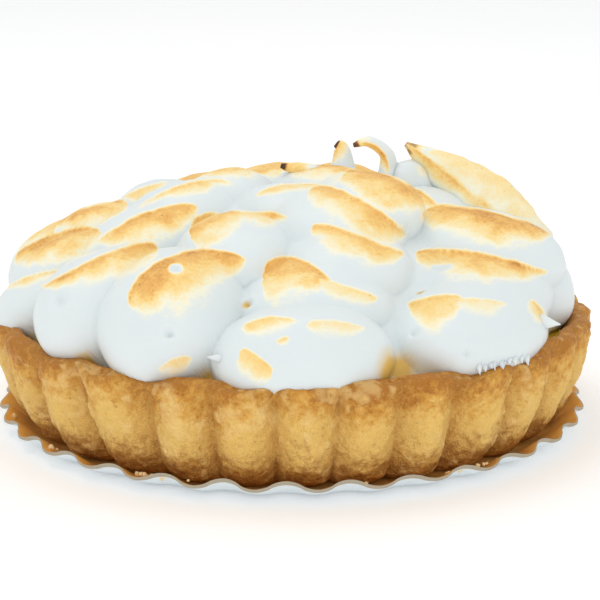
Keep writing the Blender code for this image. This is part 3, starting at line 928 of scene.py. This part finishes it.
# %% Mark the surface
# Place in pixels, radius and depth in mm.
DENTS = {
    "ring_on_left_finger": ((59, 299), 1.5, 0.6),
    "pit_on_front_finger": ((169, 333), 0.85, 0.8),
    "pit_between_fingers": ((246, 302), 0.8, 0.7),
    "pit_right_of_middle": ((414, 331), 0.8, 0.7),
    "pit_above_it": ((420, 291), 0.6, 0.35),
    "low_right_pit": ((470, 354), 0.9, 0.6),
    "hole_in_front_mark": ((176, 267), 1.0, 0.45),
    "dimple_in_right_mark": ((441, 266), 0.9, 0.3),
}
# Small places that the flame left white, and their radius in mm.
WHITE_SPOTS = ((174, 267), (178, 266), (438, 267), (444, 266))
WHITE_RADIUS, WHITENING = 0.7, 4
# Where curd pushes up between the fingers and stains them, painted a darker yellow for the shade in those
# creases: place in pixels and reach in mm.
CURD_STAINS_AND_SHADE = (
    ((391, 371), 3.0), ((400, 368), 2.4), ((206, 379), 1.6),
    ((88, 364), 1.6), ((245, 302), 0.7), ((420, 291), 0.6),
)
# The strength, the cell in mm and the seed of the foam's unevenness and of the stains'.
SAG = 0.24, 7.0, 111
ROUGH_SAG = 0.08, 2.4, 113
STAIN_CHANGE = 0.2, 1.5, 161
STAIN_GAIN, STAIN_LOSS = 1.6, 0.25
STREAK_DEPTH = 0.05
TOAST_SINK = 0.08
# The lowest share of the rows, over which the unevenness fades out.
LOWEST_SHARE = 0.03


def away_from(pixel):
    """Distance in mm of the dome's points from the one that shows at a pixel."""
    return np.linalg.norm(dome - shown_at(*pixel, dome, dome_view), axis=-1)


def dents():
    """Depth of the small craters: each a bell with a low raised ring round it."""
    total = np.zeros(dome.shape[:-1])
    for pixel, radius, depth in DENTS.values():
        away = away_from(pixel) / radius
        total = total + depth * (1 - away**2) * bell(away, 1)
    return total


def streaks(place):
    """Faint drawn lines: noise stretched along the fingers, in a few places only."""
    drawn = np.stack([azimuth_of(place) * 0.9, place[..., 2] * 0.25, 0 * place[..., 2]], -1)
    where = smooth_step((soft_noise(place, 11.0, 103) - 0.15) / 0.4)
    return where * soft_noise(drawn, 0.9, 101)


marks = dents()
for pixel in WHITE_SPOTS:
    toast = toast - WHITENING * bell(away_from(pixel), WHITE_RADIUS)
relief = uneven(dome, SAG) + uneven(dome, ROUGH_SAG, 3) + STREAK_DEPTH * streaks(dome)
relief = relief - marks - TOAST_SINK * smooth_step(toast)
edge = smooth_step((1 - row_share) / LOWEST_SHARE)
# Curd yellow on the meringue, which the finish darkens as painted shade of the creases.
curd_stain_and_shade = np.zeros(toast.shape)
for pixel, reach in CURD_STAINS_AND_SHADE:
    curd_stain_and_shade = np.maximum(curd_stain_and_shade, bell(away_from(pixel), reach) * (1 + uneven(dome, STAIN_CHANGE, 3)))
curd_stain_and_shade = np.clip(STAIN_GAIN * curd_stain_and_shade - STAIN_LOSS, 0, 1)
dome = dome + ways * (relief * edge)[..., None]
print("deepest dent in mm:", round(float(marks.max()), 2))

# %% [markdown]
# ### Drawn peaks
#
# Over the middle the meringue is drawn up into peaks: one tall leaf at the right, two small
# hooks beside it and a beak. Lower down a few wisps were pulled out as the nozzle left. Each
# is a path with a radius at every point, swept by an oval. The path goes smoothly through a
# few chosen points, and the oval closes on its tip.

# %% Sweep the peaks
# Points as x, y, z and radius in mm, from the foot to the tip; then the oval's flatness, and
# where along it, from 0 to 1, the brown begins.
PEAKS = {
    "tall": ((
        (34, -3, 19, 7.0), (36, -2, 26.4, 7.8), (34.2, -1, 30.8, 7.2), (31.2, 0.5, 35.2, 5.8),
        (27.6, 1.5, 39.0, 4.1), (24.2, 2, 41.4, 2.8), (21.4, 2.5, 43.3, 1.6), (19, 3, 45, 0.4),
    ), 0.8, 0.57),
    "hooked": ((
        (15.2, 2, 35, 3.4), (16.0, 2, 40.5, 1.7), (15.6, 2, 43.6, 1.2),
        (12.9, 2, 45.5, 0.9), (10.2, 2, 44.9, 0.35),
    ), 1.0, 0.55),
    "small": (((8.6, 4, 37, 3.2), (8.5, 4, 42.2, 1.7), (8.2, 4, 44.2, 1.2), (7.4, 4, 44.9, 0.6)), 1.0, 0.4),
    "beak": (((8, -3, 38.5, 2.8), (2.5, -3.3, 41.2, 1.7), (-1.8, -3.5, 42.4, 0.4)), 1.0, 0.2),
    "saddle": ((
        (18, 2.6, 33, 5.2), (20.3, 2.6, 38, 4.7), (21.8, 2.6, 40.8, 3.0), (22.6, 2.8, 42.6, 0.6),
    ), 0.7, 1.4),
}
PEAK_ROWS, PEAK_SIDES, PEAK_SEED = 64, 40, 120
SMALLEST_RADIUS = 0.05
# On a peak: how fast the brown deepens along it, and where its tip begins to burn.
PEAK_DEEPENS, TIP_BURNS, TIP_BURNT = 4.5, 0.85, 0.96
PEAK_WANDER = 0.5, 1.6, 121
# Marks on the peaks, in the picture, as on the fingers.
PEAK_MARKS = {
    "tall_ridge": ((406, 142), (460, 180), (508, 222), (445, 188), 0.75),
    "tall_flank": ((428, 152), (520, 172), (558, 238), (492, 212), 0.22),
    "hook_inside": ((353, 146), (378, 146), (388, 172), (368, 152), 0.9),
    "small_left": ((333, 163), (331, 148), (350, 140), (344, 156), 0.9),
}


def sweep(points, flatness, seed, rows=PEAK_ROWS, sides=PEAK_SIDES):
    """Carry an oval along the path, its long axis in the plane of the hook and its short on Y."""
    path = through(points, rows)
    centre, radius = path[:, :3], np.maximum(path[:, 3:], SMALLEST_RADIUS)
    along = np.gradient(centre, axis=0)
    along /= np.linalg.norm(along, axis=1, keepdims=True)
    out = np.cross(np.array([0.0, 1.0, 0.0]), along)
    out /= np.linalg.norm(out, axis=1, keepdims=True)
    side = np.cross(along, out)
    turn = np.linspace(0, 2 * np.pi, sides, endpoint=False)[None, :, None]
    ring = out[:, None] * np.cos(turn) + flatness * side[:, None] * np.sin(turn)
    grid = centre[:, None] + radius[:, None] * ring
    wobble = 1 + 0.12 * soft_noise(grid, 3.0, seed) + 0.05 * soft_noise(grid, 1.1, seed + 1)
    return (centre[:, None] + radius[:, None] * ring * wobble[..., None])[::-1], ring[::-1]


def brown_peak(grid, outward, begin):
    """Brown from a share of the way up, dark at the tip, and the marks that show in the picture."""
    share = np.linspace(1, 0, len(grid))[:, None] + 0 * grid[..., 0]
    value = PEAK_DEEPENS * (share - begin) - 1.0 + uneven(grid, PEAK_WANDER)
    dark = 0.6 + 1.1 * smooth_step((share - TIP_BURNS) / (TIP_BURNT - TIP_BURNS))
    view = seen_by_camera(grid, outward)
    for places in PEAK_MARKS.values():
        mark, deep = flame_mark(grid, view, *places)
        dark = np.where(mark > value, np.maximum(deep, dark - 0.6), dark)
        value = np.maximum(value, mark)
    return value, dark


peak_parts = []
for number, (points, flatness, begin) in enumerate(PEAKS.values()):
    grid, outward = sweep(points, flatness, PEAK_SEED + 5 * number)
    peak_parts.append((grid, *brown_peak(grid, outward, begin)))
print("peaks:", len(peak_parts))

# %% [markdown]
# Where the nozzle left or the meringue was dragged, it ends in small points: a horn on the
# front, a sharp corner at the right, and a row of drips over the low part of the brim. Each
# starts at the surface that shows at one pixel and ends at another, a little nearer the camera.

# %% Small points of meringue
# Pixels of the foot and the tip, radius at the foot and how far the tip comes forward, in mm.
POINTS = [((218, 357), (208, 356), 0.6, 0.0), ((547, 323), (561, 325), 1.0, 0.0)]
MM_PER_PIXEL = CAMERA_DISTANCE / FOCAL_PIXELS
DRIPS = 10
# In pixels: first and last drip, height of the first one's foot and how much it rises for each
# pixel along, how far a drip is off its place, how far its tip leans, and how long it is.
DRIP_PIXELS = (480, 526)
DRIP_FOOT, DRIP_RISE = 369, 0.22
DRIP_SHIFT = (-2, 2)
DRIP_LEAN = (-0.5, 1.5)
DRIP_LENGTH = (3, 7)
# In mm: the radius of a drip at its foot, and how far its tip comes forward.
DRIP_RADIUS = (0.35, 0.6)
DRIP_FORWARD = 0.7
# A point's path: shares of the way from foot to tip, and the share of its radius at each.
POINT_SHARES = (-0.5, 0.0, 0.35, 0.7, 1.0)
POINT_SIZES = (1.2, 1.0, 0.7, 0.36, 0.08)
POINT_FLATNESS, POINT_SEED, POINT_ROWS, POINT_SIDES = 0.9, 151, 24, 24


def list_drips():
    """Short drips side by side under the low right edge, each with its own length."""
    chance = random.Random(11)
    listed = []
    for x in np.linspace(*DRIP_PIXELS, DRIPS):
        foot = x + chance.uniform(*DRIP_SHIFT), DRIP_FOOT - DRIP_RISE * (x - DRIP_PIXELS[0])
        tip = foot[0] + chance.uniform(*DRIP_LEAN), foot[1] + chance.uniform(*DRIP_LENGTH)
        listed.append((foot, tip, chance.uniform(*DRIP_RADIUS), DRIP_FORWARD))
    return listed


def point_path(foot, tip, radius, forward):
    """Path of a small point, from inside the meringue to the tip: x, y, z and radius in mm."""
    start = shown_at(*foot, dome, dome_view)
    across, down = np.subtract(tip, foot) * MM_PER_PIXEL
    end = start + [across, 0, 0] - down * UPWARD - forward * FORWARD
    steps = zip(POINT_SHARES, POINT_SIZES)
    return [(*(start + share * (end - start)), radius * size) for share, size in steps]


for point in POINTS + list_drips():
    grid, _ = sweep(point_path(*point), POINT_FLATNESS, POINT_SEED, POINT_ROWS, POINT_SIDES)
    plain = np.zeros(grid.shape[:2])
    peak_parts.append((grid, plain + WHITE, plain))
print("small points:", len(peak_parts) - len(PEAKS))

# %% [markdown]
# Whipped meringue is a very white, slightly clear foam with a satin skin. Light goes a little
# way in, which keeps its shadows pale. Where it is browned it turns cream, gold, caramel and,
# at the thinnest tips, almost black, and the browned skin is dry and speckled.

# %% Finish of the browned meringue
def meringue_finish():
    """White foam that browns through cream and gold to caramel by the toast and char values."""
    finish = Finish(
        "browned_meringue", Subsurface_Weight=0.4, Subsurface_Scale=2 * MM,
        Subsurface_Radius=(1.0, 0.9, 0.75), Specular_IOR_Level=0.4,
    )
    toast, char = finish.attribute("toast"), finish.attribute("char")
    speck = finish.noise(0.55, 3.0, 0.6)
    cloud = finish.noise(2.6, 3.0, 0.6)
    inside = (toast + (speck - 0.5) * 0.55 + (cloud - 0.5) * 0.6).between(-0.2, 1.45)
    level = inside * (0.28 + char * 0.7 + (cloud - 0.5) * 0.25 + (speck - 0.5) * 0.3)
    colour = finish.ramp(
        level,
        (0.0, (0.75, 0.81, 0.815)),
        (0.14, (0.91, 0.88, 0.70)),
        (0.36, (0.96, 0.77, 0.41)),
        (0.62, (0.95, 0.65, 0.23)),
        (0.85, (0.83, 0.46, 0.12)),
        (1.0, (0.55, 0.23, 0.05)),
    )
    # Curd yellow on the meringue, darker than the curd itself: the stain's own colour with painted shade of
    # the creases.
    curd_stain_and_crease_shade = finish.mix(finish.attribute("curd") * 0.9, colour, (0.74, 0.46, 0.04))
    burnt = finish.mix(char.between(1.0, 1.5) * inside, curd_stain_and_crease_shade, (0.07, 0.03, 0.015))
    dots = finish.noise(0.8, 2.0, 0.5).between(0.69, 0.75) * toast.between(0.6, 1.4)
    dotted = finish.mix(dots * 0.6, burnt, (0.45, 0.19, 0.05))
    relief = speck * 0.5 + finish.noise(0.3, 2.0) * 0.3
    finish.paint(
        Base_Color=dotted, Roughness=0.42 + inside * 0.2, Normal=finish.bump(relief, 0.05, 0.6),
    )
    return finish


white_foam = meringue_finish()
underside = dome[-1:] * [0.97, 0.97, 0] + [0, 0, CURD_TOP + 0.05]
meringue = make_round(
    "meringue_dome",
    [np.vstack([dome, underside])],
    toast=[np.vstack([toast, toast[-1:]])],
    char=[np.vstack([char, char[-1:]])],
    curd=[np.vstack([curd_stain_and_shade, curd_stain_and_shade[-1:]])],
)
peak_grids, peak_toast, peak_char = zip(*peak_parts)
clean = [np.zeros(grid.shape[:2]) for grid in peak_grids]
peaks = make_round("meringue_peaks", peak_grids, toast=peak_toast, char=peak_char, curd=clean)
for piece in (meringue, peaks):
    dress(piece, white_foam, "meringue")

# %% [markdown]
# ## The gold card case
#
# The case is one round of thin card with gold foil on its upper face. Its flat middle carries
# the tart, and its rim is folded up into small pleats: where a pleat stands farther out it
# also hangs lower, which gives the wavy edge. It is one grid that goes out over the upper face,
# round the cut edge and back under the sheet.

# %% Shape the card case
CARD_RADIUS = 48.6
CARD_FLAT_RADIUS = 42.8
CARD_RIM_HEIGHT = 2.6
CARD_THICKNESS = 0.5
PLEATS = 33
PLEAT_AZIMUTH = 4.7
PLEAT_OUT = 0.6
PLEAT_DOWN = 0.45
PLEAT_SHARPNESS = 0.8
PLEAT_CHANGE = 0.25, 9, 131
PLEAT_COLUMNS = 24
RIM_CURVE = 0.75
RIM_ROWS = 22


def rim_height(share):
    """Height of the card's rim, before its pleats: part of an S curve, 0 at the crease."""
    return CARD_RIM_HEIGHT * smooth_step(share * RIM_CURVE) / smooth_step(RIM_CURVE)


def shape_card():
    """Out over the gold face and back under it; the pleats grow from the crease to the edge."""
    out = np.linspace(0, 1, RIM_ROWS)
    share = np.concatenate([out, [1.004, 1.0], out[::-1][1:]])[:, None]
    azimuth = np.linspace(0, 360, PLEATS * PLEAT_COLUMNS, endpoint=False)[None, :]
    swing = np.cos(np.radians((azimuth - PLEAT_AZIMUTH) * PLEATS))
    wave = np.sign(swing) * np.abs(swing) ** PLEAT_SHARPNESS
    wave = wave * (1 + uneven(polar(azimuth, CARD_RADIUS, 0), PLEAT_CHANGE))
    radius = CARD_FLAT_RADIUS + (CARD_RADIUS - CARD_FLAT_RADIUS) * share
    radius = radius + PLEAT_OUT * wave * np.minimum(share, 1)
    height = rim_height(share) - PLEAT_DOWN * wave * share
    above = np.concatenate([np.ones(RIM_ROWS), [0.85, 0.15], np.zeros(RIM_ROWS - 1)])[:, None]
    rim = polar(azimuth, radius, height + CARD_THICKNESS * above)
    flat = CARD_FLAT_RADIUS * np.array([[0.02], [0.5], [0.97]])
    upper, lower = polar(azimuth, flat, CARD_THICKNESS), polar(azimuth, flat[::-1], 0.0)
    cut = np.concatenate([np.zeros(RIM_ROWS - 1), np.ones(4), np.zeros(RIM_ROWS - 2)])[:, None]
    gold = np.concatenate([np.ones(RIM_ROWS), np.zeros(RIM_ROWS + 1)])[:, None]
    plain = np.zeros((3, azimuth.size))
    grid = np.vstack([upper, rim, lower])
    return grid, np.vstack([plain + 1, gold + plain[:1], plain]), np.vstack([plain, cut + plain[:1], plain])


def card_finish():
    """Gold foil above, white card below, grey-brown at the cut edge."""
    finish = Finish("gold_foil_card")
    gold, edge = finish.attribute("gold"), finish.attribute("edge")
    foil = finish.ramp(finish.noise(4), (0.3, (0.95, 0.52, 0.12)), (0.7, (1.0, 0.63, 0.19)))
    colour = finish.mix(gold, (0.80, 0.86, 0.89), foil)
    rimmed = finish.mix(edge, colour, (0.42, 0.36, 0.26))
    metal = gold * (1 - edge) * 0.3
    finish.paint(
        Base_Color=rimmed, Metallic=metal, Roughness=0.6 - metal * 0.6,
        Normal=finish.bump(finish.noise(1.5, 2.0), 0.2, 0.7),
    )
    return finish


card_grid, gold_value, edge_value = shape_card()
card_case = make_round("card_case_gold", [card_grid], gold=[gold_value], edge=[edge_value])
dress(card_case, card_finish(), "card_case")

# %% [markdown]
# ## Crumbs
#
# Short pastry sheds crumbs. A few pale ones lie where the wall meets the card's gold rim, most
# of them at the front left and at the right. Each is a small lump: a ball pressed by noise.

# %% Shape the crumbs
CRUMBS = 26
# Azimuths round which they lie, and how far they spread; then distances out and sizes in mm.
CRUMB_PLACES = ((-27, 4), (34, 9), (-55, 9))
CRUMB_OUT = (46.2, 47.8)
CRUMB_SIZE = (0.18, 0.42)
CRUMB_CHANGE = 0.35, 0.9, 171
CRUMB_ROWS, CRUMB_COLUMNS = 8, 12


def shape_crumbs():
    """Small uneven balls on the rim of the card, at seeded places round a few azimuths."""
    chance = random.Random(23)
    grids = []
    for index in range(CRUMBS):
        middle, spread = CRUMB_PLACES[index % len(CRUMB_PLACES)]
        azimuth = chance.gauss(middle, spread)
        out = chance.uniform(*CRUMB_OUT)
        size = chance.uniform(*CRUMB_SIZE)
        share = (out - CARD_FLAT_RADIUS) / (CARD_RADIUS - CARD_FLAT_RADIUS)
        height = rim_height(share) + CARD_THICKNESS
        around = np.linspace(0, 360, CRUMB_COLUMNS, endpoint=False)[None, :]
        over = np.radians(np.linspace(12, 168, CRUMB_ROWS))[:, None]
        ball = polar(around, np.sin(over), np.cos(over))
        lump = 1 + uneven(ball + 5 * index, CRUMB_CHANGE)
        grids.append(polar(azimuth, out, height + 0.3 * size) + size * ball * lump[..., None])
    return grids


def crumb_finish():
    """Pale dry pastry with fine grain."""
    finish = Finish("pastry_crumb", Roughness=0.7, Specular_IOR_Level=0.3)
    colour = finish.ramp(finish.noise(0.5), (0.3, (0.82, 0.58, 0.26)), (0.7, (0.95, 0.80, 0.50)))
    finish.paint(Base_Color=colour, Normal=finish.bump(finish.noise(0.2), 0.05))
    return finish


crumbs = make_round("pastry_crumbs", shape_crumbs())
crumbs.data.materials.append(crumb_finish().material)
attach(crumbs, "root")

# %% [markdown]
# ## Floor and light
#
# The photograph is bright and even: a white table and backdrop, a large soft light from above,
# and white all round that keeps the shadows pale.

# %% Floor and lights
FLOOR_REACH = 20.0
FLOOR_GLOW = 0.14
# Name, place and size in metres, and power in watts.
LIGHTS = (
    ("soft_top", (-0.15, 0.1, 0.8), 0.6, 1.3),
    ("soft_front", (0.1, -0.8, 0.25), 0.5, 0.8),
)
LIGHT_AIM = (0, 0, 0.02)
WORLD_STRENGTH = 0.82


def make_floor():
    """A wide pale plane that the card stands on."""
    glow = {"Emission_Color": (1, 1, 1, 1), "Emission_Strength": FLOOR_GLOW}
    finish = Finish("pale_floor", Roughness=0.7, **glow)
    tone = finish.ramp(finish.noise(400, 2.0), (0.3, (0.93, 0.94, 0.94)), (0.7, (0.95, 0.95, 0.95)))
    finish.paint(Base_Color=tone)
    mesh = bpy.data.meshes.new("floor")
    signs = ((-1, -1), (1, -1), (1, 1), (-1, 1))
    mesh.from_pydata([(x * FLOOR_REACH, y * FLOOR_REACH, 0) for x, y in signs], [], [(0, 1, 2, 3)])
    mesh.materials.append(finish.material)
    floor = add_object("floor", mesh)


def make_light(name, place, size, power):
    """A square soft light that faces the tart."""
    light = bpy.data.lights.new(name, "AREA")
    light.size = size
    light.energy = power
    lamp = add_object(name, light)
    lamp.location = place
    away = lamp.location - type(lamp.location)(LIGHT_AIM)
    lamp.rotation_euler = away.to_track_quat("Z", "Y").to_euler()


make_floor()
for light in LIGHTS:
    make_light(*light)
world = bpy.data.worlds.new("studio")
world.use_nodes = True
world.node_tree.nodes["Background"].inputs["Color"].default_value = (1.0, 1.0, 1.0, 1.0)
world.node_tree.nodes["Background"].inputs["Strength"].default_value = WORLD_STRENGTH
bpy.context.scene.world = world
bpy.context.scene.view_settings.view_transform = "Standard"
